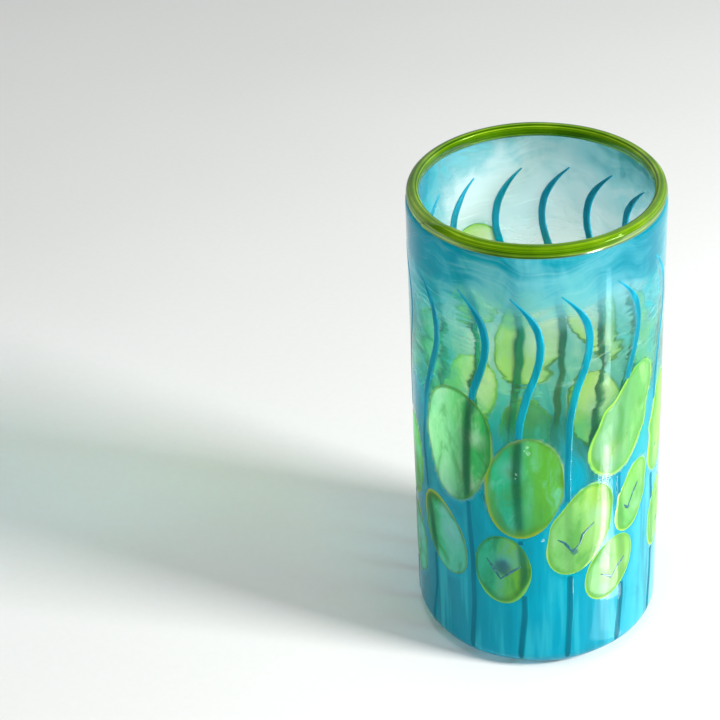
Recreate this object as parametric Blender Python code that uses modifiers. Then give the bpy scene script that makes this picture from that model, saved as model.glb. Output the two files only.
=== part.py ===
"""Hand blown art glass vase: a turquoise cylinder with inlaid stems and pads and a green lip wrap.

The frame is in metres with +Z up. Its origin is the centre of the foot, on the surface that the vase
stands on, and the front of the vase faces -Y. An angle on the wall is in degrees, 0 at the front and
growing towards +X.
"""

from math import cos, pi, radians, sin

import bmesh
import bpy
from mathutils import Matrix, Vector

MM = 0.001
GAP = 0.3 * MM  # clear space between neighbouring pieces of glass

# Body
HEIGHT = 255 * MM  # foot to the top of the lip wrap
OUTER_R = 63.5 * MM
INNER_R = 57.3 * MM
BASE_THICKNESS = 16 * MM
CORNER_R = 10 * MM
FLOOR_CORNER_R = 14 * MM
DISH_R = 20 * MM  # ground and polished hollow where the pontil was broken off
DISH_DEPTH = 1.2 * MM
LIP_INNER_R = 56 * MM
LIP_TAPER = 12 * MM  # height over which the wall thickens to meet the lip wrap
LIP_ROUND = 0.4 * MM  # softened edges of the rim
STEPS = 36  # flat faces round the vase

# Lip wrap, a ring that lies in a round seat in the rim
WRAP_TUBE_R = 3.7 * MM
WRAP_RING_R = 58.8 * MM
WRAP_SIDES = 12
SEAT_CLEARANCE = GAP + 0.05 * MM
SEAT_INNER_ANGLE = 230  # where the seat starts and ends round the ring's section, in degrees
SEAT_OUTER_ANGLE = 330

# Canes, the drawn threads that make the stems. Their sizes on the wall are in mm, their angles in degrees.
CANE_THICKNESS = 3.0 * MM
CANE_HALF_WIDTH = 1.6
CANE_TIP_HALF_WIDTH = 0.5
CANE_END_HEIGHT = 6
TIP_DROP = 27  # mean distance of the tips below the top of the vase
TIP_SWING = 3
SWELL_LENGTH = 18  # tip to the full width
BEND_DROP = 26  # tip to the outermost point of the bend
BEND_LENGTH = 44  # from there to where the stem hangs straight
BEND_ANGLE = 8.5
TIP_ANGLE = -4.5
WAVE_START = 95  # below the top of the vase
WAVE_LENGTH = 150
STRAIGHT_PARTS = 5

# (angle at which the stem hangs, swing of its slow wave)
CANES = [
    (-88, 1.5),
    (-64, 4.5),
    (-37, 1.5),
    (-12.5, 2.0),
    (9.5, 1.0),
    (36, 2.0),
    (62, 2.0),
    (91, 3.0),
    (119, 2.0),
    (141, 1.5),
    (163, 2.0),
    (185.5, 2.0),
    (209, 3.0),
    (230, 2.0),
    (250, 3.0),
]

# Pads, the flattened discs over the stems
PAD_THICKNESS = 1.3 * MM
PAD_POINTS = 20
PRISM_DEPTH = 20 * MM  # of the prisms that inlays and pockets are cut from
REACH = 35  # no pad covers a stem that hangs this many degrees from the pad's middle

# (angle, height of the centre, half width, half height in mm, lean to the right in degrees, taper to the top)
PADS = [
    (-44.8, 133, 19.6, 33.5, 3, -0.18),
    (-11.1, 116, 18.8, 30.5, 9, 0.0),
    (-54.0, 73, 14.0, 23.5, -24, 0.0),
    (-21.3, 64, 14.0, 21.0, 0, 0.0),
    (15.5, 88.5, 15.0, 28.0, 21, 0.05),
    (30.8, 58.5, 12.5, 19.0, 24, 0.0),
    (44.0, 97.5, 9.6, 20.3, 17, 0.1),
    (38.7, 147.5, 14.8, 31.5, 27, 0.3),
    (68.5, 127, 11.5, 29.0, 8, 0.1),
    (70.5, 69, 12.0, 20.0, 12, 0.0),
    (-85.5, 103, 15.0, 25.0, 0, 0.0),
    (-82.5, 52, 13.5, 21.5, -12, 0.0),
    (107, 142, 15.5, 30.0, 14, 0.15),
    (104, 78, 14.5, 23.0, 26, 0.0),
    (146, 146, 15.5, 27.0, 18, 0.1),
    (143, 84, 15.0, 25.0, -14, 0.0),
    (178, 122, 17.5, 30.0, -8, -0.1),
    (180, 62, 13.5, 20.0, 10, 0.0),
    (204, 168, 16.0, 30.0, 6, -0.1),
    (211, 98, 15.5, 25.0, 14, 0.0),
    (241, 140, 15.0, 27.0, 12, 0.1),
    (243, 76, 14.5, 22.0, -10, 0.0),
]


def clear_scene():
    for obj in list(bpy.data.objects):
        bpy.data.objects.remove(obj, do_unlink=True)


def new_collection(name):
    made = bpy.data.collections.new(name)
    bpy.context.scene.collection.children.link(made)
    return made


def glass(name, colour, alpha, roughness=0.04):
    """A material for one kind of glass."""
    made = bpy.data.materials.new(name)
    made.use_nodes = True
    shader = made.node_tree.nodes["Principled BSDF"]
    shader.inputs["Base Color"].default_value = (*colour, 1)
    shader.inputs["Metallic"].default_value = 0
    shader.inputs["Roughness"].default_value = roughness
    shader.inputs["IOR"].default_value = 1.5
    shader.inputs["Transmission Weight"].default_value = 1 - alpha
    made.diffuse_color = (*colour, alpha)
    return made


def add_object(name, mesh, collection, material=None):
    obj = bpy.data.objects.new(name, mesh)
    collection.objects.link(obj)
    if material:
        mesh.materials.append(material)
    return obj


def make_cutter(obj):
    obj.hide_render = True
    obj.display_type = "WIRE"
    return obj


def lathe(name, profile, collection, material=None):
    """A solid turned round Z from an outline in (radius, height) that starts and ends on the axis."""
    mesh = bpy.data.meshes.new(name)
    edges = [(i, i + 1) for i in range(len(profile) - 1)]
    mesh.from_pydata([(r, 0, z) for r, z in profile], edges, [])
    obj = add_object(name, mesh, collection, material)
    screw = obj.modifiers.new("Turn", "SCREW")
    screw.axis = "Z"
    screw.steps = STEPS
    screw.render_steps = STEPS
    screw.use_merge_vertices = True
    screw.merge_threshold = 0.00001
    screw.use_smooth_shade = True
    return obj


def boolean(obj, name, operation, other):
    """Cuts or keeps the part of obj that another solid covers."""
    cut = obj.modifiers.new(name, "BOOLEAN")
    cut.operation = operation
    cut.solver = "EXACT"
    cut.object = other


def mesh_from_curve(name, curve, matrix, collection, material=None):
    """A closed mesh with the curve's shape, its caps welded on, in place of the curve."""
    guide = bpy.data.objects.new(name + "_curve", curve)
    guide.matrix_world = matrix
    collection.objects.link(guide)
    bpy.context.view_layer.update()
    seen = guide.evaluated_get(bpy.context.evaluated_depsgraph_get())
    mesh = bpy.data.meshes.new_from_object(seen)
    edit = bmesh.new()
    edit.from_mesh(mesh)
    bmesh.ops.remove_doubles(edit, verts=edit.verts, dist=0.000001)
    bmesh.ops.recalc_face_normals(edit, faces=edit.faces)
    edit.to_mesh(mesh)
    edit.free()
    bpy.data.objects.remove(guide, do_unlink=True)
    mesh.name = name
    obj = add_object(name, mesh, collection, material)
    obj.matrix_world = matrix
    return obj


def arc(centre, radius, start, end, count):
    """Points of an arc in (radius, height), its angles in degrees from the +radius direction."""
    angles = [radians(start + (end - start) * i / count) for i in range(count + 1)]
    return [(centre[0] + radius * cos(a), centre[1] + radius * sin(a)) for a in angles]


def wrap_centre():
    return WRAP_RING_R, HEIGHT - WRAP_TUBE_R


def base_corner():
    """The round corner from the foot of the outer wall to the flat ring that the vase stands on."""
    centre = (OUTER_R - CORNER_R, CORNER_R)
    return arc(centre, CORNER_R, 0, -90, 6)


def body_outline():
    """The whole outline of the body: floor, inner wall, seat of the wrap, outer wall and foot."""
    floor_corner = (INNER_R - FLOOR_CORNER_R, BASE_THICKNESS + FLOOR_CORNER_R)
    seat = arc(wrap_centre(), WRAP_TUBE_R + SEAT_CLEARANCE, SEAT_INNER_ANGLE, SEAT_OUTER_ANGLE, 4)
    inner_lip = seat[0][1]
    outer_lip = seat[-1][1]
    points = [(0, BASE_THICKNESS)]
    points += arc(floor_corner, FLOOR_CORNER_R, -90, 0, 5)
    points.append((INNER_R, inner_lip - LIP_TAPER))
    points.append((LIP_INNER_R, inner_lip - LIP_ROUND))
    points += seat
    points.append((OUTER_R - LIP_ROUND, outer_lip - LIP_ROUND / 2))
    points.append((OUTER_R, outer_lip - 3 * LIP_ROUND))
    points += base_corner()
    points.append((DISH_R, 0))
    points.append((DISH_R / 2, DISH_DEPTH * 0.75))
    points.append((0, DISH_DEPTH))
    return points


def envelope_outline():
    """The outside of the vase as a full solid, which trims the inlays flush with the wall."""
    return [(0, HEIGHT), (OUTER_R, HEIGHT), *base_corner(), (0, 0)]


def make_core(name, depth, collection):
    """A cutter for the inner face of an inlay: a full cylinder whose side lies a depth inside the wall."""
    radius = OUTER_R - depth
    outline = [(0, 2 * HEIGHT), (radius, 2 * HEIGHT), (radius, -HEIGHT), (0, -HEIGHT)]
    return make_cutter(lathe(name, outline, collection))


def round_axis(angle, radius):
    """A point at an angle and a distance from the vase's axis, at the level of the foot."""
    return Vector((radius * sin(radians(angle)), -radius * cos(radians(angle)), 0))


def stem_angle(base, wave, drop, tip_drop):
    """The angle of a stem at a distance below the top: a bend under the tip, then a slow wave."""
    below_tip = drop - tip_drop
    if below_tip < BEND_DROP:
        return base + BEND_ANGLE - (BEND_ANGLE - TIP_ANGLE) * (1 - below_tip / BEND_DROP) ** 2
    fade = min((below_tip - BEND_DROP) / BEND_LENGTH, 1)
    phase = 2 * pi * (drop - WAVE_START) / WAVE_LENGTH
    return base + BEND_ANGLE * (1 + cos(pi * fade)) / 2 - wave * fade * sin(phase)


def stem_path(base, wave):
    """The centre line of a stem as (point, half width), x round the wall from its base angle and y up it."""
    top = HEIGHT / MM
    tip_drop = TIP_DROP + TIP_SWING * cos(radians(base + 90))
    drops = [tip_drop + step for step in (0, 5, 11, 18, 26, 34, 43, 55, 72)]
    rest = top - CANE_END_HEIGHT - drops[-1]
    drops += [drops[-1] + rest * i / STRAIGHT_PARTS for i in range(1, STRAIGHT_PARTS + 1)]
    path = []
    for drop in drops:
        swell = min((drop - tip_drop) / SWELL_LENGTH, 1)
        half_width = CANE_TIP_HALF_WIDTH + (CANE_HALF_WIDTH - CANE_TIP_HALF_WIDTH) * swell
        along = radians(stem_angle(base, wave, drop, tip_drop) - base) * OUTER_R / MM
        path.append((Vector((along, top - drop)), half_width))
    return path


def stem_outline(path, grow):
    """The outline of a stem: its path with its half width to each side, all grown by a margin."""
    points = [point for point, _ in path]
    points[0] = points[0] + (points[0] - points[1]).normalized() * grow
    points[-1] = points[-1] + (points[-1] - points[-2]).normalized() * grow
    left = []
    right = []
    for i, (_, half_width) in enumerate(path):
        ahead = points[min(i + 1, len(points) - 1)] - points[max(i - 1, 0)]
        side = Vector((-ahead.y, ahead.x)).normalized() * (half_width + grow)
        right.append(points[i] + side)
        left.append(points[i] - side)
    return right + left[::-1]


def pad_outline(height, half_width, half_height, lean, taper, grow):
    """An egg-shaped outline, x round the wall and y up it."""
    turn = Matrix.Rotation(-radians(lean), 2)
    points = []
    for i in range(PAD_POINTS):
        t = 2 * pi * i / PAD_POINTS
        across = (half_width + grow) * cos(t) * (1 - taper * sin(t))
        up = (half_height + grow) * sin(t)
        points.append(turn @ Vector((across, up)) + Vector((0, height)))
    return points


def wall_prism(name, outline, angle, collection, material=None):
    """A prism that points outwards through the wall at an angle, with an outline drawn on the wall in mm."""
    curve = bpy.data.curves.new(name, "CURVE")
    curve.dimensions = "2D"
    curve.fill_mode = "BOTH"
    curve.extrude = PRISM_DEPTH / 2
    spline = curve.splines.new("POLY")
    spline.points.add(len(outline) - 1)
    for place, point in zip(spline.points, outline):
        place.co = (OUTER_R * sin(point.x * MM / OUTER_R), point.y * MM, 0, 1)
    spline.use_cyclic_u = True
    out = round_axis(angle, 1)
    right = round_axis(angle + 90, 1)
    matrix = Matrix((right, (0, 0, 1), out)).transposed().to_4x4()
    matrix.translation = round_axis(angle, OUTER_R - PRISM_DEPTH / 4)
    return mesh_from_curve(name, curve, matrix, collection, material)


def make_inlay(name, outline, angle, faces, collection, material):
    """A piece of glass set flush in the wall: a prism kept inside an envelope and outside a core."""
    envelope, core = faces
    inlay = wall_prism(name, outline, angle, collection, material)
    boolean(inlay, "Outer face", "INTERSECT", envelope)
    boolean(inlay, "Inner face", "DIFFERENCE", core)
    smooth(inlay)
    return inlay


def make_pocket(name, outline, angle, core, collection):
    """The cutter for the hollow that an inlay sits in."""
    pocket = make_cutter(wall_prism(name, outline, angle, collection))
    boolean(pocket, "Floor", "DIFFERENCE", core)
    return pocket


def crosses(base, pad):
    """Whether a stem that hangs at an angle can run under a pad."""
    apart = (pad[0] - base + 180) % 360 - 180
    return abs(apart) < REACH


def make_wrap(collection, material):
    """The lip wrap, a closed ring of glass in the seat of the rim."""
    ring_r, ring_z = wrap_centre()
    bpy.ops.mesh.primitive_torus_add(
        location=(0, 0, ring_z),
        major_segments=STEPS,
        minor_segments=WRAP_SIDES,
        major_radius=ring_r,
        minor_radius=WRAP_TUBE_R,
    )
    wrap = bpy.context.object
    wrap.name = "lip_wrap"
    for holder in list(wrap.users_collection):
        holder.objects.unlink(wrap)
    collection.objects.link(wrap)
    wrap.data.materials.append(material)
    smooth(wrap, 60)


def smooth(obj, angle=30):
    obj.data.shade_smooth()
    obj.data.set_sharp_from_angle(angle=radians(angle))


def build():
    clear_scene()
    vase = new_collection("art_glass_vase")
    cutters = new_collection("cutters")

    body_glass = glass("body_turquoise_glass", (0.02, 0.42, 0.52), 0.45)
    cane_glass = glass("cane_teal_glass", (0.0, 0.2, 0.32), 0.85)
    pad_glass = glass("pad_lime_glass", (0.26, 0.56, 0.16), 0.7)
    wrap_glass = glass("wrap_green_glass", (0.16, 0.34, 0.02), 0.8)

    body = lathe("vase_body", body_outline(), vase, body_glass)
    envelope = make_cutter(lathe("envelope", envelope_outline(), cutters))
    pad_core = make_core("pad_core", PAD_THICKNESS, cutters)
    pocket_core = make_core("pocket_core", PAD_THICKNESS + GAP, cutters)
    cane_core = make_core("cane_core", CANE_THICKNESS, cutters)
    groove_core = make_core("groove_core", CANE_THICKNESS + GAP, cutters)
    grow = GAP / MM

    pockets = []
    for number, (angle, *shape) in enumerate(PADS, 1):
        make_inlay(f"pad_{number:02d}", pad_outline(*shape, 0), angle, (envelope, pad_core), vase, pad_glass)
        outline = pad_outline(*shape, grow)
        pockets.append(make_pocket(f"pocket_{number:02d}", outline, angle, pocket_core, cutters))

    grooves = []
    for number, (base, wave) in enumerate(CANES, 1):
        path = stem_path(base, wave)
        outline = stem_outline(path, 0)
        cane = make_inlay(f"cane_{number:02d}", outline, base, (envelope, cane_core), vase, cane_glass)
        for pad, pocket in zip(PADS, pockets):
            if crosses(base, pad):
                boolean(cane, pocket.name, "DIFFERENCE", pocket)
        outline = stem_outline(path, grow)
        grooves.append(make_pocket(f"groove_{number:02d}", outline, base, groove_core, cutters))

    for cutter in pockets + grooves:
        boolean(body, cutter.name, "DIFFERENCE", cutter)
    make_wrap(vase, wrap_glass)


build()
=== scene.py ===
from math import atan2, cos, degrees, pi, radians, sin, sqrt

import bpy
import numpy as np
from mathutils import Euler, Matrix, Vector, noise


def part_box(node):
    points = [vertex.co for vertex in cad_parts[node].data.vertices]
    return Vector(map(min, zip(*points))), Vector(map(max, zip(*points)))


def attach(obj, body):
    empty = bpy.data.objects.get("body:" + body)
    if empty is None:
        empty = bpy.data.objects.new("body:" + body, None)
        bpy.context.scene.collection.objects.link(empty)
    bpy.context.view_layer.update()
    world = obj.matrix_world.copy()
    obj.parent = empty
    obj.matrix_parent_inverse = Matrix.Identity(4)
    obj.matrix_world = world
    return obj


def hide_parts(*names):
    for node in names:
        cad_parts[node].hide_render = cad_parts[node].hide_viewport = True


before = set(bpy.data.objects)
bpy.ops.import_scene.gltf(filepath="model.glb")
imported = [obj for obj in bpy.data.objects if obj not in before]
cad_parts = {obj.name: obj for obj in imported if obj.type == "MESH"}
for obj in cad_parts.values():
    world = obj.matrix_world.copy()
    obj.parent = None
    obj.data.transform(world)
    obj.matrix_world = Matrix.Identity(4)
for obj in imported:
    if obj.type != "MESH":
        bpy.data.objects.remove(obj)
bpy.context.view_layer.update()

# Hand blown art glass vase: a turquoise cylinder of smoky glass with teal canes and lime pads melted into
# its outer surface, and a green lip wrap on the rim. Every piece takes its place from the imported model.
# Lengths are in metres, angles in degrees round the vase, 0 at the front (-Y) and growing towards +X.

MM = 0.001
ROOT = "root"

# Wall
SKIN = 0.35 * MM  # the wall's face lies this far inside the CAD's, so that inlays stand just proud of it
ROUND = 192  # faces round the vase
STEP = 2.5 * MM  # spacing of the rings up the wall
OUTER_WAVE = 0.10 * MM  # hand made unevenness of the outer face, the size of its waves and their seed
OUTER_WAVE_SIZE = 60 * MM
OUTER_SEED = 3
INNER_WAVE = 0.45 * MM  # the same for the inner face, whose waves are shorter up the wall than round it
INNER_WAVE_SIZE = 17 * MM
INNER_SQUASH = 1.7
INNER_SEED = 9
CALM_TOP = 20 * MM  # the waves die away over this distance below the top
LIP_INSET = 1.3 * MM  # how far the neck of the wall draws in under the lip wrap

# Canes
CANE_PROUD = 0.20 * MM  # how far a cane stands out of the wall
CANE_DEPTH = 2.2 * MM
CANE_SIDES = 16
CANE_SPACING = 1.25 * MM
CANE_SPREAD = 0.55 * MM  # how much wider to each side the melted cane is than the CAD's, at the foot
SPREAD_TOP = 340 * MM  # the gain shrinks to nothing at this height
CANE_TAPER = 12 * MM  # length of the thin end at the top
CANE_LEAN = 56  # how far round the foot's corner a cane runs, in degrees, and the steps there
LEAN_STEP = 8
CANE_SINK = 1.15 * MM  # how far a cane goes down where a pad covers it
DIP_BEFORE = 0.2 * MM  # it starts to dip this far outside the pad's edge and is down after the second length
DIP_LENGTH = 1.6 * MM

# Pads
PAD_PROUD = 0.22 * MM
PAD_DEPTH = 0.75 * MM
PAD_MELT = 0.12 * MM  # how far its edge sinks into the wall
PAD_SPREAD = 1.9 * MM  # the melted edge of a pad runs out past the CAD's outline
PAD_SIDES = 96
PAD_RINGS = 18
PAD_WAVES = 5  # waves round the outline that are kept from the CAD's
HALO = 3.5 * MM  # width of the darker glass round a pad
UNDER_START = -0.2 * MM  # under a pad the wall clears from this far inside its edge, over the second length
UNDER_LENGTH = 1.2 * MM
COVER_FADE = 2.8 * MM  # softness of the dark band where a cane runs under a pad
CREASE_HALF_WIDTH = 0.65 * MM
CREASE_SIDES = 8
CREASE_STEPS = 4
BUBBLE_SIDES = 12
BUBBLE_LIFT = 0.25 * MM

# Lip wrap
WRAP_SIDES = 36
WRAP_STEPS = 360
WRAP_RIBS = 10
WRAP_RIB_DEPTH = 0.09 * MM
WRAP_INNER = 0.78  # the roll bulges less to the inside
WRAP_HANG = 2.4 * MM  # and hangs lower on the outside
WRAP_SPARE = 0.56 * MM  # the roll is this much thinner than its space, which its ribs and its lap need
WRAP_UNEVEN = 0.10 * MM
WRAP_OUT = 0.3 * MM
WRAP_TWIST = 0.4  # turns of the ribs in one round of the roll, which brings a rib back to a rib
LAP_ANGLE = -58  # where the end of the wrap lies over its start
LAP_RISE = 0.5 * MM
LAP_SLANT = 9 * MM  # how far the lap's edge runs along the roll to either side
LAP_FALL = 16 * MM
LAP_LINE = 0.9 * MM


def colour(red, green, blue):
    """Linear RGBA of a colour given by its screen values, 0 to 255."""

    def linear(value):
        value /= 255
        return value / 12.92 if value <= 0.04045 else ((value + 0.055) / 1.055) ** 2.4

    return (linear(red), linear(green), linear(blue), 1)


# ---------------- reading the frame


def points_of(node):
    """The vertices of a CAD node as rows of x, y, z."""
    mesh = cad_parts[node].data
    flat = np.empty(len(mesh.vertices) * 3)
    mesh.vertices.foreach_get("co", flat)
    return flat.reshape(-1, 3)


def on_wall(points):
    """(angles in degrees, heights, radii) of points."""
    angles = np.degrees(np.arctan2(points[:, 0], -points[:, 1]))
    return angles, points[:, 2], np.hypot(points[:, 0], points[:, 1])


def cut_at(node, height):
    """Where the edges of a CAD node cross a level, as on_wall gives it."""
    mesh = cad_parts[node].data
    ends = np.empty(len(mesh.edges) * 2, int)
    mesh.edges.foreach_get("vertices", ends)
    points = points_of(node)
    a, b = points[ends[0::2]], points[ends[1::2]]
    crossing = (a[:, 2] - height) * (b[:, 2] - height) < 0
    a, b = a[crossing], b[crossing]
    share = (height - a[:, 2]) / (b[:, 2] - a[:, 2])
    return on_wall(a + (b - a) * share[:, None])


def turn_near(angles, middle):
    """Angles moved by whole turns to lie within half a turn of a middle one."""
    return (np.asarray(angles) - middle + 180) % 360 - 180 + middle


def middle_of(angles):
    """The mean direction of angles, wherever they lie round the vase."""
    return degrees(atan2(np.sin(np.radians(angles)).mean(), np.cos(np.radians(angles)).mean()))


_, body_heights, body_radii = on_wall(points_of("vase_body"))
_, _, mid_radii = cut_at("vase_body", 0.45 * body_heights.max())
OUTER_R = body_radii.max()
INNER_R = mid_radii[mid_radii < 0.95 * OUTER_R].max()
FLOOR_Z = body_heights[body_radii < 0.8 * INNER_R].max()
CORNER_R = body_heights[body_radii > 0.999 * OUTER_R].min()
on_inner_wall = (np.abs(body_radii - INNER_R) < 0.1 * MM) & (body_heights > FLOOR_Z)
FLOOR_CORNER_R = body_heights[on_inner_wall].min() - FLOOR_Z
DISH_R = body_radii[body_heights < 0.01 * MM].min()
DISH_DEPTH = body_heights[(body_radii < 0.9 * DISH_R) & (body_heights < 0.5 * FLOOR_Z)].max()

wrap_low, wrap_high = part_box("lip_wrap")
TOP = wrap_high.z
WRAP_R = (wrap_high.z - wrap_low.z) / 2
WRAP_RING_R = wrap_high.x - WRAP_R
WRAP_Z = TOP - WRAP_R
ROLL_R = WRAP_R + 0.35 * MM  # the roll as seen, which spreads a little past the CAD's ring
WALL_R = OUTER_R - SKIN


# ---------------- meshes


def at(angle, height, radius):
    """A point by its angle round the vase, height and distance from the axis."""
    return Vector((radius * sin(radians(angle)), -radius * cos(radians(angle)), height))


def wave(angle, height, size, seed):
    """Smooth unevenness from -1 to 1, with features of about the given size in metres."""
    return noise.noise(at(angle, height, WALL_R) / size + Vector((seed, 0, 0)))


def face_radius(angle, height):
    """The wall's outer face, a little uneven."""
    return WALL_R + OUTER_WAVE * wave(angle, height, OUTER_WAVE_SIZE, OUTER_SEED)


def middle_point(ring):
    """The mean of a ring's points."""
    return sum(ring, Vector()) / len(ring)


def loft(name, rings, poles=None, looped=False):
    """A mesh of closed rings joined in order. Two poles close its ends, by default the middles of the end
    rings, or looped joins its ends together."""
    count = len(rings[0])
    points = [point for ring in rings for point in ring]
    faces = []
    for row in range(len(rings) if looped else len(rings) - 1):
        low = row * count
        high = (row + 1) % len(rings) * count
        for i in range(count):
            after = (i + 1) % count
            faces.append((low + i, low + after, high + after, high + i))
    if not looped:
        poles = poles or [middle_point(rings[0]), middle_point(rings[-1])]
        first, last = len(points), len(points) + 1
        points += poles
        top = (len(rings) - 1) * count
        for i in range(count):
            after = (i + 1) % count
            faces.append((first, after, i))
            faces.append((last, top + i, top + after))
    mesh = bpy.data.meshes.new(name)
    mesh.from_pydata(points, [], faces)
    mesh.shade_smooth()
    made = bpy.data.objects.new(name, mesh)
    bpy.context.scene.collection.objects.link(made)
    return made


def give(piece, material, slot, *replaced):
    """Finishes a piece: its glass, and the CAD nodes that it stands for. The slot is not used."""
    piece.data.materials.append(material)
    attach(piece, ROOT)
    if replaced:
        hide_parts(*replaced)
    return piece


def keep(piece, name, values):
    """Stores a number or a vector for each vertex, for the material to read."""
    values = np.asarray(values, np.float32)
    if values.ndim == 1:
        layer = piece.data.attributes.new(name, "FLOAT", "POINT")
        layer.data.foreach_set("value", values)
    else:
        layer = piece.data.attributes.new(name, "FLOAT_VECTOR", "POINT")
        layer.data.foreach_set("vector", values.ravel())


def arc(centre, radius, start, end, count):
    """Points of an arc in (radius, height), its angles in degrees from the +radius direction."""
    angles = [radians(start + (end - start) * i / count) for i in range(count + 1)]
    return [(centre[0] + radius * cos(a), centre[1] + radius * sin(a)) for a in angles]


def climb(start, end, spacing=STEP):
    """Points between two of an outline, both ends left out."""
    count = max(1, round(sqrt((end[0] - start[0]) ** 2 + (end[1] - start[1]) ** 2) / spacing))
    return [
        (start[0] + (end[0] - start[0]) * i / count, start[1] + (end[1] - start[1]) * i / count)
        for i in range(1, count)
    ]


def joined(*parts):
    """One outline from several, with the gaps between them filled in."""
    outline = list(parts[0])
    for part in parts[1:]:
        outline += climb(outline[-1], part[0]) + list(part)
    return outline


# ---------------- body


def wall_outline():
    """The wall in (radius, height), from the middle of the foot up the outside, over the rim and down the
    inside to the middle of the floor."""
    foot = [(DISH_R * 0.3, DISH_DEPTH * 0.9), (DISH_R * 0.65, DISH_DEPTH * 0.55), (DISH_R, 0.0)]
    corner = arc((WALL_R - CORNER_R, CORNER_R), CORNER_R, -90, 0, 14)
    shoulder = WRAP_Z - WRAP_R
    lip = [
        (WALL_R, shoulder - 4 * MM),
        (WALL_R - 0.1 * MM, shoulder - 0.5 * MM),
        (WALL_R - 0.5 * MM, shoulder + 0.8 * MM),
        (WALL_R - 1.2 * MM, shoulder + 1.35 * MM),
        (WRAP_RING_R + 1.5 * MM, shoulder + 1.4 * MM),
        (WRAP_RING_R - 1.5 * MM, shoulder + 1.4 * MM),
        (WRAP_RING_R - 2.0 * MM, shoulder + 4.4 * MM),
        (INNER_R - LIP_INSET + 0.3 * MM, shoulder + 4.4 * MM),
        (INNER_R - LIP_INSET - 0.1 * MM, shoulder + 4.0 * MM),
        (INNER_R - LIP_INSET + 0.1 * MM, shoulder - 2 * MM),
        (INNER_R - 0.4 * MM, shoulder - 7 * MM),
        (INNER_R, shoulder - 14 * MM),
    ]
    hollow = (INNER_R - FLOOR_CORNER_R, FLOOR_Z + FLOOR_CORNER_R)
    floor = arc(hollow, FLOOR_CORNER_R, 0, -90, 12)
    return joined(foot, corner, lip, floor, [(4 * MM, FLOOR_Z)])


def make_wall(material):
    """The thick glass cylinder, with its slightly uneven faces. Its attributes halo and under tell where
    the wall lies round a pad and where it lies under one."""
    rings = []
    inner = (INNER_R + WALL_R) / 2
    for radius, height in wall_outline():
        ring = []
        for i in range(ROUND):
            angle = 360 * i / ROUND - 180
            if radius > inner:
                off = OUTER_WAVE * wave(angle, height, OUTER_WAVE_SIZE, OUTER_SEED)
            else:
                off = INNER_WAVE * wave(angle, height * INNER_SQUASH, INNER_WAVE_SIZE, INNER_SEED)
            fade = min(radius / INNER_R, 1) * min(max((TOP - height) / CALM_TOP, 0), 1)
            ring.append(at(angle, height, radius + off * fade))
        rings.append(ring)
    poles = [(0, 0, DISH_DEPTH), (0, 0, FLOOR_Z)]
    wall = loft("glass_wall", rings, poles)
    angles, heights, radii = on_wall(np.array([point for ring in rings for point in ring] + poles))
    outside = radii > inner
    keep(wall, "halo", near_pads(angles, heights, HALO, HALO) * outside)
    keep(wall, "under", near_pads(angles, heights, UNDER_START, UNDER_LENGTH) * outside)
    return give(wall, material, "body_glass", "vase_body")


# ---------------- pads


def pad_shape(node):
    """A pad's middle (angle, height) and its smooth outline, the distance from there by direction."""
    angles, heights, radii = on_wall(points_of(node))
    middle = middle_of(angles)
    angles = turn_near(angles, middle)
    rim = radii > radii.max() - 0.45 * MM
    across = np.radians(angles[rim] - middle) * OUTER_R
    up = heights[rim]
    centre = ((across.max() + across.min()) / 2, (up.max() + up.min()) / 2)
    across = across - centre[0]
    up = up - centre[1]
    direction = np.arctan2(up, across)
    distance = np.hypot(across, up)
    waves = [np.ones_like(direction)]
    for k in range(1, PAD_WAVES + 1):
        waves += [np.cos(k * direction), np.sin(k * direction)]
    fit = np.linalg.lstsq(np.array(waves).T, distance, rcond=None)[0]
    fit[0] += PAD_SPREAD
    return middle + degrees(centre[0] / OUTER_R), centre[1], fit


def reach(fit, direction):
    """The distance from a pad's middle to its edge in a direction, or in each of an array of them."""
    total = fit[0]
    for k in range(1, PAD_WAVES + 1):
        total = total + fit[2 * k - 1] * np.cos(k * direction) + fit[2 * k] * np.sin(k * direction)
    return total


pad_names = sorted(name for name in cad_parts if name.startswith("pad_"))
pad_shapes = {name: pad_shape(name) for name in pad_names}


def near_pads(angles, heights, start, length):
    """1 at points of the wall well inside a pad, falling to 0 from a place outside its edge."""
    most = np.zeros(len(angles))
    for middle, level, fit in pad_shapes.values():
        across = np.radians(turn_near(angles - middle, 0)) * OUTER_R
        up = heights - level
        away = np.hypot(across, up) - reach(fit, np.arctan2(up, across))
        most = np.maximum(most, np.clip((start - away) / length, 0, 1))
    return most * most * (3 - 2 * most)


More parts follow.
